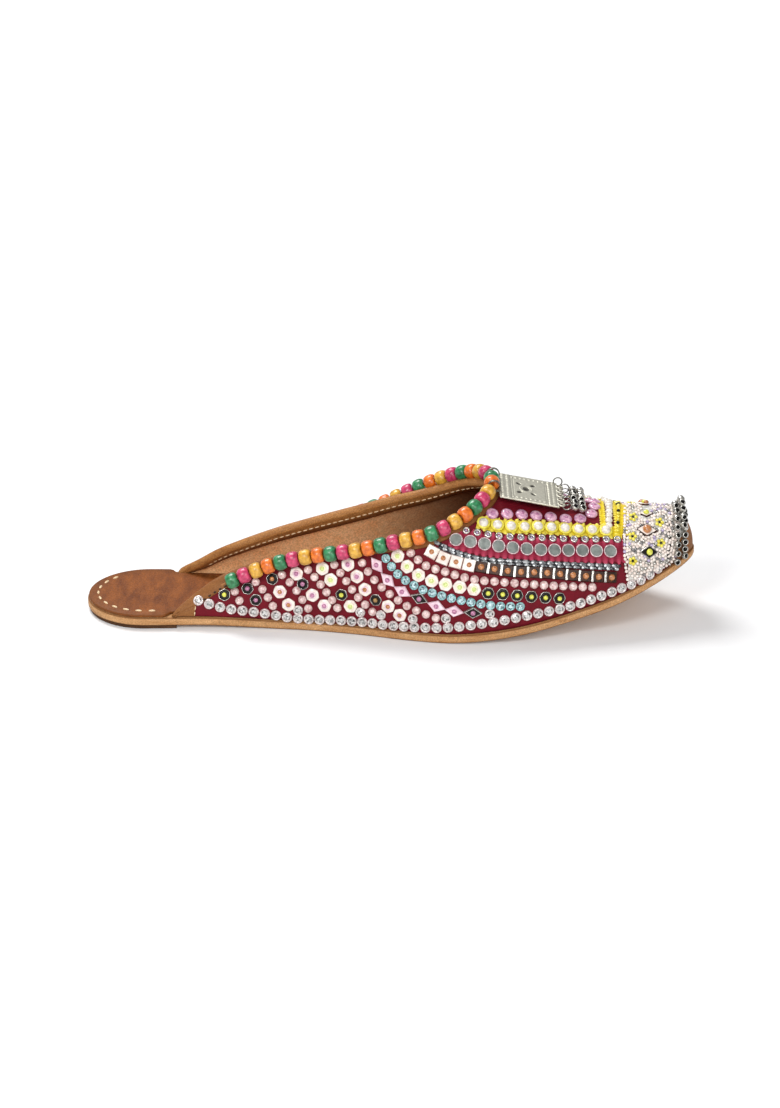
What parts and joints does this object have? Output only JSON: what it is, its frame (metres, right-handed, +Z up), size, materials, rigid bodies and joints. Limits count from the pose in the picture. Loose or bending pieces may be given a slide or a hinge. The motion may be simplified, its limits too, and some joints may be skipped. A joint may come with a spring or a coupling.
{
  "type": "jutti",
  "caption": "Backless jutti: tan leather sole with a turned-up toe, hollow maroon upper, beaded collar, a hinged stamped pendant and small bells.",
  "frame": {"origin": "middle of the sole's length and width, on the floor", "axes": "+X towards the toe, +Z up, the side that the picture shows is -Y"},
  "size_m": [0.264, 0.08, 0.063],
  "materials": {
    "sole_leather": "natural tan edge, satin",
    "lift_leather": "dark brown, matt",
    "insole_leather": "brown, semi-gloss",
    "upper_fabric": "maroon silk, set with stones, pearls, sequins, mirrors and ribbons, lined with brown leather",
    "thread": "waxed thread",
    "green_bead": "satin paint",
    "pink_bead": "satin paint",
    "yellow_bead": "satin paint",
    "orange_bead": "satin paint",
    "dark_silver": "stamped white metal, darkened in the hollows",
    "bell_metal": "white metal, darkened in the hollows"
  },
  "bodies": {
    "shoe": {"outsole": "sole_leather", "heel_lift": "lift_leather", "insole": "insole_leather", "upper": "upper_fabric", "bead_cord": "thread", "bead_01": "green_bead", "bead_02": "pink_bead", "bead_03": "yellow_bead", "bead_04": "orange_bead", "bead_05": "green_bead", "bead_06": "pink_bead", "bead_07": "yellow_bead", "bead_08": "orange_bead", "bead_09": "green_bead", "bead_10": "pink_bead", "bead_11": "yellow_bead", "bead_12": "orange_bead", "bead_13": "green_bead", "bead_14": "pink_bead", "bead_15": "yellow_bead", "bead_16": "orange_bead", "bead_17": "green_bead", "bead_18": "pink_bead", "bead_19": "yellow_bead", "bead_20": "orange_bead", "bead_21": "green_bead", "bead_22": "pink_bead", "bead_23": "yellow_bead", "bead_24": "orange_bead", "bead_25": "green_bead", "bead_26": "pink_bead", "bead_27": "yellow_bead", "bead_28": "orange_bead", "bead_29": "green_bead", "bead_30": "pink_bead", "bead_31": "yellow_bead", "bead_32": "orange_bead", "bead_33": "green_bead", "bead_34": "pink_bead", "bead_35": "yellow_bead", "bead_36": "orange_bead", "bead_37": "green_bead", "bead_38": "pink_bead", "bead_39": "yellow_bead", "bead_40": "orange_bead", "bead_41": "green_bead", "bead_42": "pink_bead", "bead_43": "yellow_bead", "bead_44": "orange_bead", "bead_45": "green_bead", "bead_46": "pink_bead", "bead_47": "yellow_bead", "bead_48": "orange_bead", "toe_bells": "bell_metal"},
    "pendant": {"pendant_plate": "dark_silver"},
    "dangle_1": {"dangle_1": "bell_metal"},
    "dangle_2": {"dangle_2": "bell_metal"},
    "dangle_3": {"dangle_3": "bell_metal"},
    "dangle_4": {"dangle_4": "bell_metal"},
    "dangle_5": {"dangle_5": "bell_metal"}
  },
  "joints": [
    {"name": "pendant_swing", "type": "hinge", "parent": "shoe", "child": "pendant", "pos_m": [0.04301, 0, 0.05876], "axis": [0, -1, 0], "range_deg": [0, 138]},
    {"name": "dangle_1_swing", "type": "hinge", "parent": "pendant", "child": "dangle_1", "pos_m": [0.07479, -0.0096, 0.05167], "axis": [0, -1, 0], "range_deg": [0, 110]},
    {"name": "dangle_2_swing", "type": "hinge", "parent": "pendant", "child": "dangle_2", "pos_m": [0.07479, -0.0048, 0.05167], "axis": [0, -1, 0], "range_deg": [0, 110]},
    {"name": "dangle_3_swing", "type": "hinge", "parent": "pendant", "child": "dangle_3", "pos_m": [0.07479, 0, 0.05167], "axis": [0, -1, 0], "range_deg": [0, 110]},
    {"name": "dangle_4_swing", "type": "hinge", "parent": "pendant", "child": "dangle_4", "pos_m": [0.07479, 0.0048, 0.05167], "axis": [0, -1, 0], "range_deg": [0, 110]},
    {"name": "dangle_5_swing", "type": "hinge", "parent": "pendant", "child": "dangle_5", "pos_m": [0.07479, 0.0096, 0.05167], "axis": [0, -1, 0], "range_deg": [0, 110]}
  ]
}
